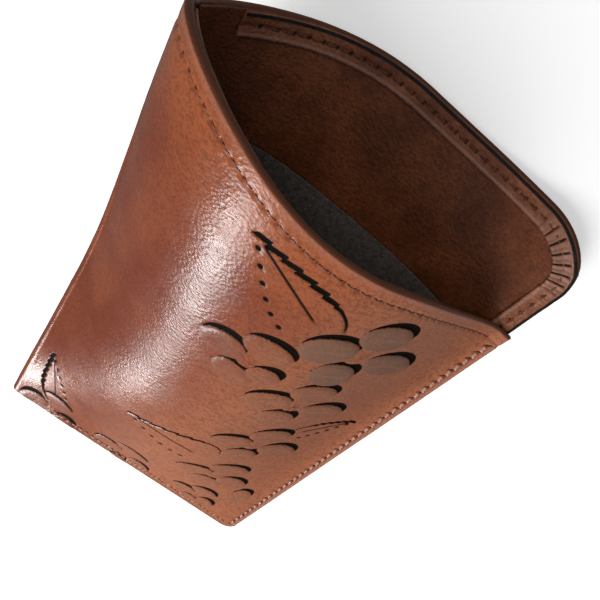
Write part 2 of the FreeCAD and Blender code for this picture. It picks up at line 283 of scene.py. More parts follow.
DOT_SHAPE = 0.7           # distances along the leaf count for less, so the dots are longer
RIB_INK = 0.52
STAR_STROKES = 6
STAR_REACH = 3.4
STAR_INK = 0.56
HAIR_INK_AND_SHADE = 0.42           # darkness of the thin line round a petal, partly ink and partly painted shade; it fades on the sides that face away from the mouth
PETAL_SWELL = 0.16        # how far petals and middles stand out, and how deep lines are
STAR_SWELL = 0.22
STAR_DEPTH = 0.12
HAIR_DEPTH = 0.08
RIB_DEPTH = 0.10
DOT_DEPTH = 0.22
FIRST_GREY = 0.95         # how grey the petals nearest the mouth are, and all the others
OTHER_GREY = 0.30


def coverage(distance):
    """An ink-and-shadow value that is a half at the edge of a mark, from its signed distance."""
    return np.clip(0.5 - distance / MARK_FEATHER, 0.0, 1.0)


def petal_list():
    """Every petal: its middle, its flower's middle, half lengths, tilt, clearance and greyness."""
    petals = []
    for number, (u, v, size, stretch) in enumerate(FLOWERS):
        grey = FIRST_GREY if number == 0 else OTHER_GREY
        for du, dv, length, width, tilt, clear in PETALS:
            pull = stretch if du < SEAM_SIDE else 1.0
            petals.append((u + du * size * pull, v + dv * size, u, v, length * size * pull,
                           width * size, math.radians(tilt), clear * size, grey))
    u, v, length, width = BUD
    petals.append((u, v, u + BUD_LEANS[0], v + BUD_LEANS[1], length, width, 0.0, BUD_CLEARANCE,
                   OTHER_GREY))
    return petals


def petal_marks(u, v):
    """Signed distances to the nearest petal and the nearest cut, the depth of the cuts from 0
    to 1, which way the petal's side faces, and its greyness."""
    nearest = np.full(u.shape, 1e3)
    band = np.full(u.shape, 1e3)
    ramp = np.zeros(u.shape)
    grey = np.zeros(u.shape)
    facing = np.zeros(u.shape)
    for pu, pv, cu, cv, length, width, tilt, clear, shade in petal_list():
        au, av = math.cos(tilt), math.sin(tilt)
        x = (u - pu) * au + (v - pv) * av
        y = (v - pv) * au - (u - pu) * av
        radius = np.sqrt((x / length) ** 2 + (y / width) ** 2) + 1e-6
        gx, gy = x / length ** 2 / radius, y / width ** 2 / radius
        slope = np.hypot(gx, gy) + 1e-6
        distance = (radius - 1) / slope
        nu, nv = (gx * au - gy * av) / slope, (gx * av + gy * au) / slope
        toward = nu * CUT_FACES[0] + nv * CUT_FACES[1]
        open_there = smooth((np.hypot(u - cu, v - cv) - clear) / 0.9)
        taper = np.sqrt(np.clip(1 - (x / length) ** 2, 0.0, 1.0))
        cut = CUT_WIDTH * smooth(toward / 0.6) * taper * open_there
        in_cut = np.maximum(-distance, distance - cut)
        band = np.where(cut > CUT_LEAST, np.minimum(band, in_cut), band)
        slope_down = np.clip(1 - distance / np.maximum(cut, 0.1), 0.0, 1.0)
        ramp = np.maximum(ramp, slope_down * (distance > 0) * smooth(cut / 0.5))
        here = distance < nearest
        nearest = np.where(here, distance, nearest)
        facing = np.where(here, toward, facing)
        grey = np.where(here, shade, grey)
    outside = smooth(nearest / 0.3 + 0.5)
    return nearest, np.maximum(band, -nearest), ramp * outside, facing, grey


def leaf_profile(t):
    """How wide a leaf is along its rib, as a share of its greatest width."""
    return 2.9 * np.sqrt(t) * (1 - t) ** 1.3


def leaf_marks(u, v):
    """Ink-and-shadow value and depth of the leaves: a toothed cut edge, a fine rib and a row of
    dots. The cut is dark partly with dye and partly with painted shadow, and the dots are painted
    shadows in the notches of the leaf's far edge.
    """
    ink_and_shadow = np.zeros(u.shape)
    depth = np.zeros(u.shape)
    for bu, bv, tu, tv, high, low, bow, side in LEAVES:
        length = math.hypot(tu - bu, tv - bv)
        au, av = (tu - bu) / length, (tv - bv) / length
        x = (u - bu) * au + (v - bv) * av
        y = ((v - bv) * au - (u - bu) * av) * side
        t = np.clip(x / length, 0.0, 1.0)
        on_leaf = smooth((t - 0.02) / 0.05) * smooth((1.0 - t) / 0.02)
        teeth = TOOTH * ((t * LEAF_TEETH) % 1.0) * smooth((t - 0.25) / 0.15)
        edge = y - (high * leaf_profile(t) - teeth)
        width = (LEAF_CUT[0] + LEAF_CUT[1] * smooth((t - 0.2) / 0.25)) * on_leaf
        band = np.maximum(-edge, edge - width)
        cut = np.where(on_leaf > 0.02, coverage(band), 0.0)
        rib = np.abs(y - bow * np.sin(math.pi * t)) - HAIR_WIDTH
        rib_ink = RIB_INK * coverage(rib - 0.12) / coverage(-0.12) * smooth((t - 0.18) / 0.1)
        rib_ink = rib_ink * smooth((0.92 - t) / 0.05)
        dots = np.full(u.shape, 1e3)
        for k in range(LEAF_DOTS):
            tk = DOTS_FROM + DOTS_OVER * k / (LEAF_DOTS - 1)
            dx, dy = (x - tk * length) * DOT_SHAPE, y + low * leaf_profile(tk)
            dots = np.minimum(dots, np.hypot(dx, dy) - DOT_RADIUS)
        ink_and_shadow = np.maximum(ink_and_shadow, np.maximum(cut, np.maximum(rib_ink, coverage(dots))))
        ramp = np.clip(1 - edge / np.maximum(width, 0.1), 0.0, 1.0) * smooth(edge / 0.3 + 0.5)
        depth = np.maximum(depth, CUT_DEPTH * ramp * on_leaf * (edge < width))
        depth = np.maximum(depth, RIB_DEPTH * rib_ink + DOT_DEPTH * coverage(dots))
    return ink_and_shadow, depth


def star_marks(u, v):
    """The short strokes that radiate from the middle of each flower."""
    ink_and_shadow = np.zeros(u.shape)
    lumps = np.zeros(u.shape)
    for number, (cu, cv, size, _) in enumerate(FLOWERS):
        du, dv = u - cu, v - cv
        radius = np.hypot(du, dv)
        angle = np.arctan2(dv, du)
        for k in range(STAR_STROKES):
            turn = 2 * math.pi * k / STAR_STROKES
            aim = 0.35 * number + turn + 0.25 * math.sin(7.0 * k + number)
            reach = STAR_REACH * size * (0.75 + 0.25 * math.cos(3.0 * k + number))
            off = np.abs(np.sin(angle - aim)) * radius
            ahead = np.cos(angle - aim) * radius
            stroke = np.where(ahead > 0.3, off - HAIR_WIDTH * 1.2, 2.0)
            fade = smooth((reach - ahead) / 0.8)
            ink_and_shadow = np.maximum(ink_and_shadow, STAR_INK * coverage(stroke) * fade)
        beads = 0.5 + 0.5 * np.cos(STAR_STROKES * angle)
        lumps = np.maximum(lumps, smooth(1 - radius / (3.0 * size)) * beads)
    return ink_and_shadow, lumps


def tooling(u, v):
    """The ink-and-shadow value, the outward relief and the greyness that the tooling gives the
    front. The dark of the cuts, leaf dots and hairlines is partly dye and partly painted shadow.
    """
    distance, band, ramp, facing, grey = petal_marks(u, v)
    leaf_ink_and_shadow, leaf_depth = leaf_marks(u, v)
    star_ink, lumps = star_marks(u, v)
    petal_ink_and_shadow = coverage(band)
    hair = coverage(np.abs(distance) - HAIR_WIDTH) * HAIR_INK_AND_SHADE * smooth((facing + 0.55) / 0.3)
    ink_and_shadow = np.maximum.reduce([petal_ink_and_shadow, leaf_ink_and_shadow, star_ink, hair])
    swell = PETAL_SWELL * smooth(-distance / 1.5) * smooth((facing + 1.0) / 1.2)
    relief = swell + STAR_SWELL * lumps - np.maximum(CUT_DEPTH * ramp, leaf_depth)
    relief = relief - STAR_DEPTH * star_ink - HAIR_DEPTH * hair
    return ink_and_shadow, relief, grey * smooth(-distance / 0.4 + 0.2)


# ---------------------------------------------------------------- meshes

def make_object(name, vertices, faces, slot, *nodes):
    """A smooth mesh that rides on the case and stands for CAD nodes, from points in mm."""
    mesh = bpy.data.meshes.new(name)
    mesh.from_pydata((np.asarray(vertices) * MM).tolist(), [], faces)
    mesh.polygons.foreach_set("use_smooth", [True] * len(mesh.polygons))
    mesh.update()
    piece = bpy.data.objects.new(name, mesh)
    bpy.context.scene.collection.objects.link(piece)
    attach(piece, "root")
    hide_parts(*nodes)
    return piece


def give_values(piece, name, values):
    attribute = piece.data.attributes.new(name, "FLOAT", "POINT")
    padded = np.zeros(len(piece.data.vertices), np.float32)
    padded[:values.size] = values.ravel()
    attribute.data.foreach_set("value", padded)


def give_inner(piece, name, values):
    """Gives values to the inner side of a sheet whose two sides have the same grid."""
    padded = np.zeros(len(piece.data.vertices))
    padded[-values.size:] = values.ravel()
    give_values(piece, name, padded)


def spread(*stretches):
    """Numbers over stretches of (start, end, steps), end to end."""
    parts = [np.linspace(start, end, steps, endpoint=False) for start, end, steps in stretches]
    return np.append(np.concatenate(parts), stretches[-1][1])


def border(rows, columns):
    """The places of a grid's border, once round."""
    loop = [(i, 0) for i in range(rows)]
    loop += [(rows, j) for j in range(columns)]
    loop += [(i, columns) for i in range(rows, 0, -1)]
    loop += [(0, j) for j in range(columns, 0, -1)]
    return loop


def outward(points, loop):
    """Unit vectors at the border that point away from the sheet, along it."""
    rows, columns = points.shape[0] - 1, points.shape[1] - 1
    found = []
    for i, j in loop:
        away = np.zeros(3)
        for on_edge, other in ((i == 0, (1, j)), (i == rows, (rows - 1, j)),
                               (j == 0, (i, 1)), (j == columns, (i, columns - 1))):
            if on_edge:
                step = points[i, j] - points[other]
                away += step / (np.linalg.norm(step) + 1e-9)
        found.append(away / (np.linalg.norm(away) + 1e-9))
    return np.array(found)


def sheet(outer, inner, bulge, skip=1, rim_steps=5):
    """Vertices and faces of a closed sheet between two grids of points, with a rounded edge.

    bulge(i, j) says how round the edge is there. The inner side takes every skip-th grid line.
    """
    rows, columns = outer.shape[0] - 1, outer.shape[1] - 1
    loop = border(rows, columns)
    count = len(loop)
    a = np.array([outer[place_] for place_ in loop])
    b = np.array([inner[place_] for place_ in loop])
    away = outward(outer, loop)
    across = (a - b) / 2
    unit = across / (np.linalg.norm(across, axis=1, keepdims=True) + 1e-9)
    away -= unit * (away * unit).sum(1, keepdims=True)
    reach = np.linalg.norm(across, axis=1) * np.array([bulge(i, j) for i, j in loop])
    vertices = [outer.reshape(-1, 3)]
    for m in range(1, rim_steps + 1):
        angle = math.pi * m / (rim_steps + 1)
        ring = (a + b) / 2 + across * math.cos(angle) + away * (reach * math.sin(angle))[:, None]
        vertices.append(ring)
    coarse = inner[::skip, ::skip]
    vertices.append(coarse.reshape(-1, 3))
    vertices = np.concatenate(vertices)
    vertices[:, 2] = np.maximum(vertices[:, 2], 0.0)

    width = columns + 1
    faces = [(i * width + j, (i + 1) * width + j, (i + 1) * width + j + 1, i * width + j + 1)
             for i in range(rows) for j in range(columns)]
    rings = [[i * width + j for i, j in loop]]
    start = (rows + 1) * width
    for m in range(rim_steps):
        rings.append([start + m * count + k for k in range(count)])
    for first, second in zip(rings, rings[1:]):
        for k in range(count):
            n = (k + 1) % count
            faces.append((first[n], first[k], second[k], second[n]))
    start += rim_steps * count
    wide = columns // skip + 1
    last = rings[-1]
    for k in range(0, count, skip):
        ends = loop[k], loop[(k + skip) % count]
        near = [start + (i // skip) * wide + j // skip for i, j in ends]
        faces.append([last[(k + m) % count] for m in range(skip, -1, -1)] + near)
    for i in range(rows // skip):
        for j in range(columns // skip):
            corner = start + i * wide + j
            faces.append((corner, corner + 1, corner + wide + 1, corner + wide))
    return vertices, faces


def edge_distance(lap, run):
    """Distance in from the mouth edge, from the side edge and from the bottom edge."""
    side = np.where(lap <= 1, lap, 2 - lap)
    from_side = side / ALLOWANCE_LAPS * SEAM_ALLOWANCE
    return top(lap) - run, from_side, run - bottom(lap)


# ---------------------------------------------------------------- the pieces

CORNER_LAPS = 0.5 * ALLOWANCE_LAPS
LEATHER_LAPS = np.concatenate([
    CORNER_LAPS * np.linspace(0, 1, 8, endpoint=False) ** 2,
    spread((CORNER_LAPS, 0.2, 16), (0.2, 1 - NOSE, 32), (1 - NOSE, 1, 8), (1, 1 + NOSE, 8),
           (1 + NOSE, 2 - ALLOWANCE_LAPS, 268), (2 - ALLOWANCE_LAPS, 2 - CORNER_LAPS, 8)),
    2 - CORNER_LAPS * np.linspace(1, 0, 9)[1:] ** 2,
])
LEATHER_ROWS = 400
LEATHER_SKIP = 4
BEAD = 1.6                # thickness of the rolled mouth edge of the front
BEAD_RUN = 1.6
SEWN = 1.5                # thickness of the edges that are sewn together
SWELLS = (30.0, 0.10, 3.1)  # the leather's slow waves: wavelength, height, seed
RIPPLES = (5.0, 0.02, 9.4)  # and its short ones
MOUTH_LIGHT_REACH = 24.0   # painted light: the front is lighter this far in from the mouth
TOOLED_TINT_AND_SHEEN = (68.0, 28.0)  # and up to here from the seam, over a stretch that fades: partly the tooled part's own tan, partly painted sheen
MOUTH_HIGHLIGHT_REACH = 1.8          # how far in from the mouth and the side a highlight is painted along the rims
SIDE_HIGHLIGHT_REACH = 3.4
MOUTH_PULL = 0.30         # how far each row of stitches pulls the leather in
SIDE_GROOVE = 0.16
MOUTH_HOLE_DEPTH = 0.35
SEAM_HOLE_DEPTH = 0.5
BOTTOM_HOLES = (1.16, 1.965)  # the laps between which the bottom row has holes


def mouth_phase(lap):
    """Distance along the mouth's stitch row, as stitches are counted."""
    laps = np.linspace(MOUTH_ROW_LAPS[0], MOUTH_ROW_LAPS[1], 401)
    path = place(laps, top(laps) - MOUTH_INSET, 0.0)
    lengths = np.append(0.0, np.linalg.norm(np.diff(path, axis=0), axis=1).cumsum())
    return np.interp(lap, laps[::-1], lengths[::-1])


def holes(along, across, pitch, offset, length, width, slant):
    """How deep in a stitch hole each place is, from 0 to 1. The holes are slanted slits."""
    beat = (along - offset + slant * across) / pitch
    off_beat = (beat - np.round(beat)) * pitch
    return np.exp(-(off_beat / width) ** 2 - (across / length) ** 4)


def stitch_marks(lap, run):
    """How far the leather is pulled in along its rows of stitches, and how dark the holes are
    painted, as the shade in them.
    """
    from_mouth, from_side, from_bottom = edge_distance(lap, run)
    front = smooth((lap - 1.0) / 0.03)
    along = mouth_phase(lap)
    pull = MOUTH_PULL * front * np.exp(-((from_mouth - MOUTH_INSET) / 0.55) ** 2)
    pull = pull * (0.55 + 0.45 * np.cos(2 * math.pi * (along / MOUTH_PITCH + 0.09)))
    hole = holes(along, from_mouth - MOUTH_INSET, MOUTH_PITCH, -0.25, 0.5, 0.34, 0.0) * front
    in_row = smooth((SIDE_ROW[1] - run) / 1.0) * smooth((run - SIDE_ROW[0] + 1.5) / 1.0)
    across = from_side - SEAM_ALLOWANCE / 2
    side = holes(run, across, SIDE_PITCH, SIDE_ROW[0] - 0.25, 1.05, 0.36, 0.75) * in_row
    groove = SIDE_GROOVE * np.exp(-(across / 0.9) ** 2) * in_row
    across = from_bottom - BOTTOM_ROW_INSET
    low = holes(from_seam(lap), across, BOTTOM_PITCH, 0.0, 0.6, 0.32, 0.3)
    first, last = BOTTOM_HOLES
    low = low * smooth((lap - first) / 0.02) * smooth((last - lap) / 0.01)
    sewn = np.maximum(side, low) * front
    holes_deep = [MOUTH_HOLE_DEPTH * hole, SEAM_HOLE_DEPTH * sewn]
    depth = np.maximum.reduce([pull, groove * front] + holes_deep)
    return depth, np.maximum(0.8 * hole, sewn)


def make_leather():
    """The leather, with its tooling, and the rolled and sewn edges, whose colour is partly the cut
    edge's own and partly painted shade.
    """
    lap = np.repeat(LEATHER_LAPS[:, None], LEATHER_ROWS + 1, 1)
    low = bottom(lap)
    run = low + (top(lap) - low) * np.linspace(0, 1, LEATHER_ROWS + 1)[None, :]
    base = place(lap, run, 0.0)
    u = from_stitch_line(lap, run)
    on_front = lap > 1 + NOSE
    ink_and_shadow, relief, grey = tooling(u, run)
    ink_and_shadow, relief, grey = (np.where(on_front, v, 0.0) for v in (ink_and_shadow, relief, grey))
    for wavelength, height, seed in (SWELLS, RIPPLES):
        relief = relief + height * wavy(base, wavelength, seed)
    pulled, hole = stitch_marks(lap, run)
    from_mouth, from_side, from_bottom = edge_distance(lap, run)
    outer = place(lap, run, -(relief - pulled))
    near_edge = np.minimum(from_side, from_bottom)
    sewn = smooth((3.5 - near_edge) / 2.0)
    sewn = sewn * smooth((np.where(lap <= 1, facing_line(lap), front_facing_line(lap)) - run) / 2.0)
    rolled = smooth((BEAD_RUN - from_mouth) / BEAD_RUN) * smooth((lap - 0.95) / 0.05)
    thickness = LEATHER + (BEAD - LEATHER) * rolled
    thickness = np.maximum(thickness, LEATHER + (SEWN - LEATHER) * sewn)
    inner = place(lap, run, thickness)

    def bulge(i, j):
        if j < LEATHER_ROWS:
            return 0.5
        return 1.0 if LEATHER_LAPS[i] > 1 else 0.45
    vertices, faces = sheet(outer, inner, bulge, LEATHER_SKIP)
    piece = make_object("case_leather", vertices, faces, "outer_leather", "outer_leather")
    give_values(piece, "ink_and_shadow", ink_and_shadow)
    give_values(piece, "hole", hole)
    give_values(piece, "grey", grey)
    # Painted light: the front lightens towards the mouth.
    give_values(piece, "mouth", smooth(1 - from_mouth / MOUTH_LIGHT_REACH) * on_front)
    give_values(piece, "tooled_tint_and_sheen", smooth((TOOLED_TINT_AND_SHEEN[0] - u) / TOOLED_TINT_AND_SHEEN[1]) * on_front)
    # Painted highlight along the front's mouth edge and the seam edges.
    mouth_rim_highlight = smooth(1 - from_mouth / MOUTH_HIGHLIGHT_REACH) * (lap > 1)
    give_values(piece, "rim_highlight", np.maximum(mouth_rim_highlight, smooth(1 - from_side / SIDE_HIGHLIGHT_REACH)))
    # The rims and the inside take the cut edge's colour, darkened as painted shade on the rolled
    # edge.
    edge = np.zeros(len(vertices))
    edge[outer.size // 3:] = 1.0
    give_values(piece, "edge", edge)
    return piece


def panel_sheet(name, laps, low, high, depth, thickness, grid, relief, slot, node):
    """A thin sheet inside a panel. low and high give its ends along the case from the lap."""
    lap = np.repeat(np.linspace(laps[0], laps[1], grid[0] + 1)[:, None], grid[1] + 1, 1)
    share = np.linspace(0, 1, grid[1] + 1)[None, :]
    run = low(lap) + (high(lap) - low(lap)) * share
    base = place(lap, run, depth + thickness)
    lift = relief(base, lap, run)
    inner = place(lap, run, depth + thickness + lift)
    outer = place(lap, run, depth)
    vertices, faces = sheet(outer, inner, lambda i, j: 0.8, 1, 4)
    return make_object(name, vertices, faces, slot, node)


def on_front(laps):
    """The same stretch of the front as laps is of the back."""
    return 2 - laps[1], 2 - laps[0]


def facing_line(lap):
    return LENGTH - FACING_REACH - FACING_ARCH * (lap - FACING_ARCH_LAP) ** 2


def front_facing_line(lap):
    return top(lap) - FRONT_FACING_REACH


def leather_relief(base, lap, run):
    return 0.12 * wavy(base, 11.0, 21.7) + 0.03 * wavy(base, 2.2, 5.5)


def hem_relief(base, lap, run):
    return 0.12 * wavy(base, 4.0, 8.8)


def felt_relief(base, lap, run):
    """Small lumps that fade out where the linings of the two panels meet in the seam."""
    side = np.where(lap <= 1, lap, 2 - lap)
    free = smooth((side - 0.08) / 0.05) * smooth((run - bottom(lap) - 8.0) / 5.0)
    return (0.10 * wavy(base, 1.6, 13.3) + 0.12 * wavy(base, 9.0, 2.9)) * free


def above_bottom(lap):
    return bottom(lap) + FELT_START


def under_edge(lap):
    return top(lap) - EDGE_GAP


def hem_line(lap):
    return top(lap) - HEM_WIDTH


def under_facing(lap):
    return facing_line(lap) - EDGE_GAP


def under_front_facing(lap):
    return front_facing_line(lap) - EDGE_GAP


def flat_size(laps, end):
    """The width and length, and the area, that a lining is cut to, in metres."""
    lap = np.linspace(*laps, 61)
    start, reach = above_bottom(lap), end(lap) - above_bottom(lap)
    halfway = place(lap, start + reach / 2, FELT_DEPTH + FELT / 2)
    steps = np.linalg.norm(np.diff(halfway, axis=0), axis=1)
    area = (steps * (reach[1:] + reach[:-1]) / 2).sum()
    return (steps.sum() * MM, reach.max() * MM), area * MM ** 2


def felt_sizes():
    return [flat_size(FELT_LAPS, under_facing), flat_size(on_front(FELT_LAPS), under_front_facing)]


FACING_GRID = (150, 70)
FRONT_FACING_GRID = (150, 36)
FELT_GRID = (150, 210)
FRONT_HEM_GRID = (240, 10)


def make_inner_sheets():
    facing = panel_sheet("lip_facing_leather", FACING_LAPS, facing_line, under_edge, FACING_DEPTH,
                         FACING, FACING_GRID, leather_relief, "inner_leather", "lip_facing")
    front = panel_sheet("front_facing_leather", on_front(FACING_LAPS), front_facing_line,
                        under_edge, FACING_DEPTH, FACING, FRONT_FACING_GRID, leather_relief,
                        "inner_leather", "front_facing")
    back_felt = panel_sheet("back_felt", FELT_LAPS, above_bottom, under_facing, FELT_DEPTH, FELT,
                            FELT_GRID, felt_relief, "felt", "back_lining")
    front_felt = panel_sheet("front_felt", on_front(FELT_LAPS), above_bottom, under_front_facing,
                             FELT_DEPTH, FELT, FELT_GRID, felt_relief, "felt", "front_lining")
    front_hem = panel_sheet("front_hem_strip", FRONT_HEM_LAPS, hem_line, under_edge, HEM_DEPTH,
                            HEM, FRONT_HEM_GRID, hem_relief, "inner_leather", "front_hem")
    return [facing, front], [back_felt, front_felt], front_hem


def lap_at(distance):
    """The lap of the back whose flat distance from the seam edge at the mouth is given."""
    laps = np.linspace(0.0, 1.0 - NOSE, 800)
    return np.interp(distance, from_seam(laps), laps)


def lip_outline(t, inset):
    """A place inset from the lip's edge: up the seam side, round the corner, along the top."""
    across, along = LIP_CORNER
    straight = LENGTH - FRONT_SIDE_LENGTH - along
    turn = math.pi / 4 * (across + along)
    crossing = SEAM_ALLOWANCE + WIDTH_MOUTH - HEM_TO_FOLD - across
    distance = t * (straight + turn + crossing)
    angle = np.clip((distance - straight) / turn, 0, 1) * math.pi / 2
    x = across - (across - inset) * np.cos(angle)
    x = x + np.maximum(distance - straight - turn, 0.0)
    lap = lap_at(x)
    climb = FRONT_SIDE_LENGTH + np.minimum(distance, straight) + (along - inset) * np.sin(angle)
    return lap, np.where(distance > straight + turn, top(lap) - inset, climb), distance


HEM_GRID = (640, 22)
PLEAT_PITCH = 3.1
PLEAT_DEPTH = 0.62
PLEAT_SWELL = 0.42        # how far the leather bulges between two pleats
PLEAT_WIDTH = 0.30
PLEATS_AROUND = (0.45, 0.52)  # middle and reach of the pleats, as shares of the corner's turn
HEM_STITCH_PULL = 0.24
HEM_HOLE_DEPTH = 0.2
HEM_RIDGE = (0.90, 0.07)  # middle and width of the strip's inner ridge, as shares of it
HEM_RIDGE_HEIGHT = 0.14
HEM_RIPPLE = 0.14


def make_hem():
    """The strip on the lip's edge, pleated round the corner and pulled in by its stitches."""
    columns, rows = HEM_GRID
    t = np.repeat(np.linspace(0, 1, columns + 1)[:, None], rows + 1, 1)
    inset = EDGE_GAP + (HEM_WIDTH - EDGE_GAP) * np.linspace(0, 1, rows + 1)[None, :] + 0 * t
    lap, run, distance = lip_outline(t, inset)
    base = place(lap, run, HEM_DEPTH)
    share = (inset - EDGE_GAP) / (HEM_WIDTH - EDGE_GAP)
    straight = LENGTH - FRONT_SIDE_LENGTH - LIP_CORNER[1]
    turn = math.pi / 4 * sum(LIP_CORNER)
    corner_at, corner_reach = straight + turn * PLEATS_AROUND[0], turn * PLEATS_AROUND[1]
    corner = np.exp(-((distance - corner_at) / corner_reach) ** 4)
    beat = distance / PLEAT_PITCH + 0.35 * share + 0.12 * wavy(base, 6.0, 1.3)
    off_beat = beat - np.round(beat)
    valley = np.exp(-(off_beat * PLEAT_PITCH / PLEAT_WIDTH) ** 2)
    valley = valley * corner * smooth((share - 0.10) / 0.25)
    lumps = PLEAT_SWELL * corner * np.cos(math.pi * off_beat) * smooth(share / 0.4)
    row = np.exp(-((inset - MOUTH_INSET) / 0.55) ** 2)
    hole = holes(distance - LIP_ROW[0] * (straight + turn), inset - MOUTH_INSET, MOUTH_PITCH, 0.0,
                 0.5, 0.40, 0.0) * (1 - corner)
    ridge = np.exp(-((share - HEM_RIDGE[0]) / HEM_RIDGE[1]) ** 2)
    lift = HEM_RIPPLE * wavy(base, 3.2, 4.4) + lumps - PLEAT_DEPTH * valley
    lift = lift - HEM_STITCH_PULL * row - HEM_HOLE_DEPTH * hole + HEM_RIDGE_HEIGHT * ridge
    lift = np.maximum(lift, -0.6 * HEM)
    inner = place(lap, run, HEM_DEPTH + HEM + lift)
    outer = place(lap, run, HEM_DEPTH)
    vertices, faces = sheet(outer, inner, lambda i, j: 0.5, 1, 4)
    piece = make_object("lip_hem_strip", vertices, faces, "inner_leather", "lip_hem")
    # Painted shade: the strip's outer rim, its pleat valleys and its stitch holes are darkened
    # through the hole value.
    rim_shadow = smooth((0.20 - share) / 0.10)
    give_inner(piece, "hole", np.maximum.reduce([valley, hole, rim_shadow]))
    # Painted highlight: the strip's inner ridge and the tops of its pleats are paler.
    give_inner(piece, "ridge", np.maximum(ridge, 0.8 * corner * (1 - valley)))
    return piece


THREAD_GRID = (11, 10)    # rings along a stitch and sides round it
PLY = 0.16                # how far the two plies of a thread stand out of its round
TWIST = 5.2               # turn of the plies over one stitch, in radians
SUNK = 0.35               # how deep a stitch's ends lie, as a share of the thread's size


def thread_mesh(start, end, lift, up, size):
    """One stitch: a two-ply thread that arches from hole to hole."""
    rings, sides = THREAD_GRID
    along = end - start
    length = np.linalg.norm(along)
    along = along / length
    side = np.cross(along, up)
    side = side / np.linalg.norm(side)
    over = np.cross(side, along)
    t = np.linspace(0, 1, rings)[:, None]
    angle = np.linspace(0, 2 * math.pi, sides, endpoint=False)[None, :]
    arch = lift * (1 - (2 * t - 1) ** 4) - SUNK * size
    plies = 1 + PLY * np.cos(2 * (angle - TWIST * t))
    radius = size / 2 * plies * np.sqrt(np.clip(1 - (2 * t - 1) ** 6, 0.02, 1))
    middle = start + along * (t[..., None] * length) + over * arch[..., None]
    ring = side * np.cos(angle)[..., None] + over * np.sin(angle)[..., None]
    vertices = (middle + ring * radius[..., None]).reshape(-1, 3)
    faces = []
    for i in range(rings - 1):
        for k in range(sides):
            n = (k + 1) % sides
            faces.append((i * sides + k, i * sides + n, (i + 1) * sides + n, (i + 1) * sides + k))
    faces.append(tuple(range(sides - 1, -1, -1)))
    faces.append(tuple(range((rings - 1) * sides, rings * sides)))
    return vertices, faces


def stitch_row(name, path, pitch, depth, outwards, size, slot, node, slant=0.0):
    """Stitches along path(t) -> lap, run. Each runs most of a pitch; slant tilts them."""
    t = np.linspace(0, 1, 801)
    lap, run = path(t)
    points = place(lap, run, depth)
    lengths = np.append(0.0, np.linalg.norm(np.diff(points, axis=0), axis=1).cumsum())
    vertices, faces, first = [], [], 0
    for k in range(int(lengths[-1] // pitch)):
        ends = np.interp([k * pitch, (k + STITCH_COVER) * pitch], lengths, t)
        laps, runs = path(ends)
        laps = laps + np.array([slant, -slant])
        a, b = place(laps, runs, depth)
        up = normal(laps, runs).mean(0) * outwards
        up = np.array([-up[0], -up[1], up[2]])
        v, f = thread_mesh(a, b, STITCH_ARCH * size, up, size)
        vertices.append(v)
        faces += [tuple(first + n for n in face) for face in f]
        first += len(v)
    return make_object(name, np.concatenate(vertices), faces, slot, node)


def make_stitches():
    def between(ends, t):
        return ends[0] + (ends[1] - ends[0]) * t

    def mouth(t):
        lap = between(MOUTH_ROW_LAPS, t)
        return lap, top(lap) - MOUTH_INSET

    def lip(t):
        return lip_outline(between(LIP_ROW, t), np.full_like(t, MOUTH_INSET))[:2]

    def side(t):
        return 0 * t + 2 - ALLOWANCE_LAPS / 2, between(SIDE_ROW, t)

    def low(t):
        lap = between(BOTTOM_ROW_LAPS, t)
        return lap, bottom(lap) + BOTTOM_ROW_INSET

    brown = [
        stitch_row("mouth_threads", mouth, MOUTH_PITCH, 0.22, 1, FINE_THREAD, "brown_thread",
                   "mouth_stitching"),
        stitch_row("lip_threads", lip, MOUTH_PITCH, HEM_DEPTH + HEM - 0.25, -1, FINE_THREAD,
                   "brown_thread", "lip_stitching"),
    ]
    pale = [
        stitch_row("side_seam_threads", side, SIDE_PITCH, 0.18, 1, SIDE_THREAD, "pale_thread",
                   "side_seam_stitching", slant=ALLOWANCE_LAPS * SIDE_SLANT),
        stitch_row("bottom_seam_threads", low, BOTTOM_PITCH, 0.15, 1, BOTTOM_THREAD,
                   "pale_thread", "bottom_seam_stitching"),
    ]
    return brown, pale


# ---------------------------------------------------------------- materials

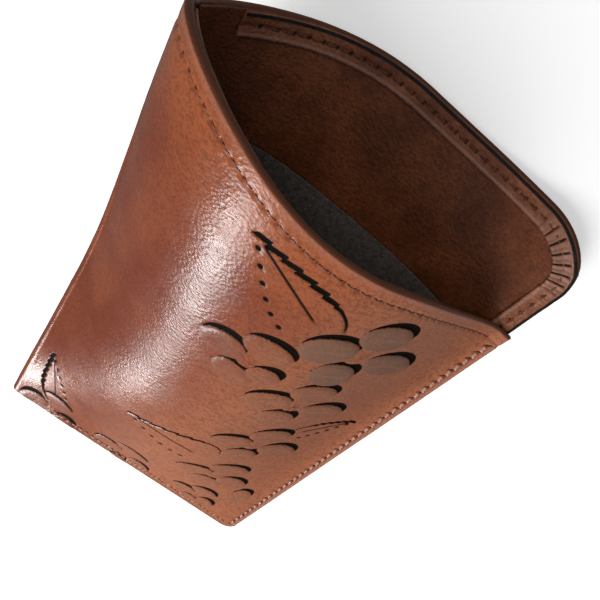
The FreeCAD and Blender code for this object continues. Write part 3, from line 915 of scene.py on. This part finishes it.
class Shader:
    """A material whose nodes are added one by one."""

    def __init__(self, name):
        self.material = bpy.data.materials.new(name)
        self.material.use_nodes = True
        self.tree = self.material.node_tree
        self.surface = self.tree.nodes["Principled BSDF"]
        self.place = self.add("ShaderNodeTexCoord").outputs["Object"]

    def add(self, kind, **settings):
        node = self.tree.nodes.new(kind)
        for key, value in settings.items():
            setattr(node, key, value)
        return node

    def feed(self, socket, value):
        if isinstance(value, bpy.types.NodeSocket):
            self.tree.links.new(value, socket)
        else:
            socket.default_value = value

    def fill(self, node, **values):
        """Sets or links sockets, named with _ where the socket's name has a space."""
        for name, value in values.items():
            self.feed(node.inputs[name.replace("_", " ")], value)

    def attribute(self, name):
        return self.add("ShaderNodeAttribute", attribute_name=name).outputs["Fac"]

    def stretched(self, turn, ratio):
        """The place, shortened along X and then turned about Z by an angle in degrees."""
        node = self.add("ShaderNodeMapping")
        self.fill(node, Vector=self.place, Rotation=(0.0, 0.0, math.radians(turn)),
                  Scale=(1 / ratio, 1.0, 1.0))
        return node.outputs["Vector"]

    def noise(self, size_mm, detail=3.0, roughness=0.55, distortion=0.0, place=None):
        node = self.add("ShaderNodeTexNoise")
        self.fill(node, Vector=place or self.place, Scale=1 / (size_mm * MM), Detail=detail,
                  Roughness=roughness, Distortion=distortion)
        return node.outputs["Fac"]

    def cells(self, size_mm, smoothness=0.6, place=None):
        node = self.add("ShaderNodeTexVoronoi", feature="SMOOTH_F1")
        self.fill(node, Vector=place or self.place, Scale=1 / (size_mm * MM),
                  Smoothness=smoothness)
        return node.outputs["Distance"]

    def math(self, operation, a, b=0.0):
        node = self.add("ShaderNodeMath", operation=operation)
        self.feed(node.inputs[0], a)
        self.feed(node.inputs[1], b)
        return node.outputs[0]

    def span(self, value, low, high, to_low=0.0, to_high=1.0):
        node = self.add("ShaderNodeMapRange", interpolation_type="SMOOTHSTEP")
        self.fill(node, Value=value, From_Min=low, From_Max=high, To_Min=to_low, To_Max=to_high)
        return node.outputs["Result"]

    def mix(self, share, a, b):
        node = self.add("ShaderNodeMix", data_type="RGBA")
        self.feed(node.inputs[0], share)
        for socket, value in ((node.inputs[6], a), (node.inputs[7], b)):
            self.feed(socket, value if isinstance(value, bpy.types.NodeSocket) else (*value, 1.0))
        return node.outputs[2]

    def bump(self, height, depth_mm, below=None):
        node = self.add("ShaderNodeBump")
        self.fill(node, Strength=1.0, Distance=depth_mm * MM, Height=height)
        if below is not None:
            self.fill(node, Normal=below)
        return node.outputs["Normal"]

    def finish(self, colour, roughness, bump, **others):
        self.fill(self.surface, Base_Color=colour, Roughness=roughness, Normal=bump, **others)
        return self.material


# Colours of the leather, linear
REDDISH = (0.142, 0.028, 0.011)
ORANGE = (0.290, 0.082, 0.031)
TAN = (0.330, 0.122, 0.062)
DEEP = (0.070, 0.018, 0.009)
# Dark of the tooling's cuts, partly dye and partly painted shadow; the black also paints the shade
# in stitch holes.
BLACK_INK_AND_SHADE = (0.004, 0.003, 0.002)
RED_INK_AND_SHADE = (0.060, 0.014, 0.006)
PETAL_GREY = (0.150, 0.080, 0.054)
RIM_HIGHLIGHT = (0.300, 0.130, 0.085)
CUT_EDGE_AND_SHADE = (0.105, 0.036, 0.018)
FACING_LIGHT = (0.185, 0.052, 0.018)
FACING_DARK = (0.110, 0.029, 0.010)
HEM_LIGHT = (0.260, 0.090, 0.042)
HEM_DARK = (0.150, 0.045, 0.022)
HEM_HIGHLIGHT = (0.360, 0.210, 0.165)

# The grain of the leather
GRAIN_TURN = 28.0         # turn of its pattern about Z, in degrees
PEBBLE = 0.58
PEBBLE_DEPTH = 0.046
CREASE = 0.80
CREASE_DEPTH = 0.050
INK_AND_SHADOW_EDGE = (0.40, 0.54)   # the ink-and-shadow values between which brown turns to black


def outer_leather_material():
    s = Shader("tooled_leather")
    patches = s.noise(20.0, 2.0, 0.5, 0.3)
    colour = s.mix(s.span(patches, 0.35, 0.72, 0.04, 0.36), REDDISH, ORANGE)
    # Painted light: the front is lighter towards the mouth, mottled by noise.
    lighter = s.span(s.noise(14.0), 0.3, 0.7, 0.45, 0.85)
    colour = s.mix(s.math("MULTIPLY", s.attribute("mouth"), lighter), colour, ORANGE)
    # Partly the tooled part's own tan, partly painted sheen.
    colour = s.mix(s.math("MULTIPLY", s.attribute("tooled_tint_and_sheen"), 0.7), colour, TAN)
    wrinkled = s.stretched(GRAIN_TURN, 1.5)
    pebbles = s.cells(PEBBLE, 0.25, wrinkled)
    creases = s.noise(CREASE, 2.0, 0.5, 1.2, wrinkled)
    colour = s.mix(s.span(creases, 0.36, 0.56, 0.42, 0.0), colour, DEEP)
    # Painted highlight on the rims.
    colour = s.mix(s.math("MULTIPLY", s.attribute("rim_highlight"), 0.45), colour, RIM_HIGHLIGHT)
    uneven = s.span(s.noise(3.0, 3.0), 0.35, 0.65, 0.7, 1.0)
    grey = s.math("MULTIPLY", s.attribute("grey"), uneven)
    colour = s.mix(grey, colour, PETAL_GREY)
    # Painted shadow, partly dye: the tooling's cuts and marks go red-brown, then black.
    ink_and_shadow = s.attribute("ink_and_shadow")
    black = s.span(ink_and_shadow, *INK_AND_SHADOW_EDGE)
    colour = s.mix(s.span(ink_and_shadow, 0.22, 0.44, 0.0, 0.8), colour, RED_INK_AND_SHADE)
    colour = s.mix(black, colour, BLACK_INK_AND_SHADE)
    # Painted shade: the stitch holes go dark brown, then black.
    hole = s.attribute("hole")
    colour = s.mix(s.span(hole, 0.30, 0.75), colour, DEEP)
    colour = s.mix(s.span(hole, 0.60, 0.95), colour, BLACK_INK_AND_SHADE)
    # The cut edge's own colour, partly painted shade.
    colour = s.mix(s.span(s.attribute("edge"), 0.1, 0.9), colour, CUT_EDGE_AND_SHADE)
    roughness = s.span(s.noise(7.0, 3.0), 0.3, 0.7, 0.24, 0.33)
    roughness = s.math("ADD", roughness, s.math("MULTIPLY", grey, 0.20))
    roughness = s.math("ADD", roughness, s.math("MULTIPLY", s.attribute("tooled_tint_and_sheen"), 0.08))
    roughness = s.math("ADD", roughness, s.math("MULTIPLY", black, 0.45))
    bump = s.bump(creases, CREASE_DEPTH)
    bump = s.bump(pebbles, PEBBLE_DEPTH, bump)
    gloss = s.span(ink_and_shadow, *INK_AND_SHADOW_EDGE, 0.20, 0.03)
    return s.finish(colour, roughness, bump, Specular_IOR_Level=gloss)


def inner_leather_material(name, light, dark, pale):
    """pale paints a highlight on the places that the ridge value marks, and the hole value paints
    shade on others.
    """
    s = Shader(name)
    colour = s.mix(s.span(s.noise(12.0, 3.0), 0.35, 0.65), dark, light)
    creases = s.noise(0.7, 4.0, 0.6, 0.8, s.stretched(GRAIN_TURN, 1.7))
    colour = s.mix(s.span(creases, 0.38, 0.60, 0.5, 0.0), colour, tuple(v * 0.4 for v in dark))
    # Painted highlight where the ridge value marks.
    colour = s.mix(s.math("MULTIPLY", s.attribute("ridge"), 0.55), colour, pale)
    # Painted shade in holes, pleat valleys and the hem's rim.
    hole = s.attribute("hole")
    colour = s.mix(s.span(hole, 0.25, 0.65), colour, DEEP)
    colour = s.mix(s.span(hole, 0.55, 0.90), colour, BLACK_INK_AND_SHADE)
    roughness = s.span(s.noise(5.0, 3.0), 0.3, 0.7, 0.34, 0.50)
    bump = s.bump(s.cells(0.7, 0.3), 0.12)
    bump = s.bump(creases, 0.15, bump)
    return s.finish(colour, roughness, bump, Specular_IOR_Level=0.45, Coat_Weight=0.08,
                    Coat_Roughness=0.30)


FELT_DARK = (0.046, 0.034, 0.028)
FELT_LIGHT = (0.122, 0.098, 0.081)
FELT_FLECK = (0.34, 0.31, 0.27)


def felt_material():
    s = Shader("grey_felt")
    tufts = s.noise(1.1, 4.0, 0.7)
    colour = s.mix(s.span(tufts, 0.3, 0.7), FELT_DARK, FELT_LIGHT)
    fleck = s.span(s.noise(0.45, 2.0, 0.8), 0.62, 0.72)
    colour = s.mix(fleck, colour, FELT_FLECK)
    bump = s.bump(s.noise(0.35, 4.0, 0.8), 0.30)
    return s.finish(colour, 0.95, bump, Specular_IOR_Level=0.15, Sheen_Weight=0.4,
                    Sheen_Roughness=0.5)


BROWN_THREAD = ((0.150, 0.052, 0.026), (0.050, 0.017, 0.010))  # light and dark
# The seam threads' paleness is partly their own colour, partly painted highlight for their gloss.
PALE_THREAD_AND_HIGHLIGHT = ((0.40, 0.20, 0.145), (0.26, 0.11, 0.075))
BOARD = ((0.20, 0.16, 0.11), (0.30, 0.25, 0.18))  # dark and light


def thread_material(name, light, dark):
    s = Shader(name)
    colour = s.mix(s.span(s.noise(0.5, 3.0), 0.35, 0.65), dark, light)
    bump = s.bump(s.noise(0.12, 2.0), 0.05)
    return s.finish(colour, s.span(s.noise(0.8), 0.3, 0.7, 0.38, 0.55), bump,
                    Specular_IOR_Level=0.5)


def board_material():
    s = Shader("fibre_board")
    colour = s.mix(s.span(s.noise(0.8, 4.0), 0.35, 0.65), *BOARD)
    return s.finish(colour, 0.9, s.bump(s.noise(0.4, 3.0), 0.05))


def dress(pieces, material):
    for piece in pieces:
        piece.data.materials.clear()
        piece.data.materials.append(material)


# ---------------------------------------------------------------- camera, light and floor

CAMERA_AT = (22.1, -93.6, 123.9)
CAMERA_AIM = (-3.4, -25.6, 15.0)
CAMERA_ROLL = -159.1
LENS = 34.2


def make_camera():
    data = bpy.data.cameras.new("camera")
    data.lens = LENS
    data.clip_start = 0.01
    camera = bpy.data.objects.new("camera", data)
    bpy.context.scene.collection.objects.link(camera)
    place_at, aim = Vector(CAMERA_AT) * MM, Vector(CAMERA_AIM) * MM
    look = (aim - place_at).to_track_quat("-Z", "Y").to_matrix().to_4x4()
    roll = Matrix.Rotation(math.radians(CAMERA_ROLL), 4, "Z")
    camera.matrix_world = Matrix.Translation(place_at) @ look @ roll
    bpy.context.scene.camera = camera


LAMP_AIM = (0.0, -10.0, 25.0)
# Lamps: name, azimuth, elevation, distance and size in metres, power, seen in the gloss
LAMPS = [
    ("window", 72, 25, 0.55, (0.09, 0.26), 3.1, True),
    ("overhead", 92, 56, 0.9, (0.5, 0.5), 5.6, False),
    ("mouth_side", -60, 60, 0.8, (0.3, 0.3), 1.4, False),
]


def make_lamp(name, azimuth, elevation, distance, size, power, mirrored):
    """A soft rectangular lamp; azimuth is the direction it stands in, from +X towards +Y."""
    data = bpy.data.lights.new(name, "AREA")
    data.shape = "RECTANGLE"
    data.size, data.size_y = size
    data.energy = power
    lamp = bpy.data.objects.new(name, data)
    lamp.visible_glossy = mirrored
    bpy.context.scene.collection.objects.link(lamp)
    a, e = math.radians(azimuth), math.radians(elevation)
    toward = Vector((math.cos(e) * math.cos(a), math.cos(e) * math.sin(a), math.sin(e)))
    target = Vector(LAMP_AIM) * MM
    lamp.location = target + toward * distance
    lamp.rotation_euler = toward.to_track_quat("Z", "Y").to_euler()


WORLD_COLOUR = (1.0, 0.99, 0.98, 1.0)
WORLD_STRENGTH = 0.22
FLOOR_HALF = 3.0          # metres
FLOOR_DROP = 0.0002       # metres
FLOOR_COLOUR = (0.75, 0.75, 0.75, 1.0)
FLOOR_GLOW = 0.36


def make_floor():
    """A pale floor that takes the case's shadow, and gives it no light and no reflection."""
    h = FLOOR_HALF
    mesh = bpy.data.meshes.new("floor")
    mesh.from_pydata([(-h, -h, 0), (h, -h, 0), (h, h, 0), (-h, h, 0)], [], [(0, 1, 2, 3)])
    floor = bpy.data.objects.new("floor", mesh)
    floor.location.z = -FLOOR_DROP
    floor.visible_glossy = False
    floor.visible_diffuse = False
    bpy.context.scene.collection.objects.link(floor)
    s = Shader("pale_floor")
    s.fill(s.surface, Base_Color=FLOOR_COLOUR, Roughness=0.9, Specular_IOR_Level=0.1,
           Emission_Color=(1.0, 1.0, 1.0, 1.0), Emission_Strength=FLOOR_GLOW)
    dress([floor], s.material)


def make_light():
    world = bpy.data.worlds.new("studio")
    world.use_nodes = True
    background = world.node_tree.nodes["Background"]
    background.inputs["Color"].default_value = WORLD_COLOUR
    background.inputs["Strength"].default_value = WORLD_STRENGTH
    bpy.context.scene.world = world
    bpy.context.scene.view_settings.view_transform = "Standard"
    for lamp in LAMPS:
        make_lamp(*lamp)


# ---------------------------------------------------------------- build

make_camera()
make_floor()
make_light()
leather = make_leather()
facings, felts, front_hem = make_inner_sheets()
lip_hem = make_hem()
brown_threads, pale_threads = make_stitches()
dress([leather], outer_leather_material())
dress(facings, inner_leather_material("facing_leather", FACING_LIGHT, FACING_DARK, FACING_LIGHT))
dress([lip_hem, front_hem], inner_leather_material("hem_leather", HEM_LIGHT, HEM_DARK, HEM_HIGHLIGHT))
dress(felts, felt_material())
dress(brown_threads, thread_material("brown_thread", *BROWN_THREAD))
dress(pale_threads, thread_material("pale_thread", *PALE_THREAD_AND_HIGHLIGHT))
dress([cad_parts[n] for n in ("back_stiffener", "front_stiffener")], board_material())

for felt, (flat, area) in zip(felts, felt_sizes()):
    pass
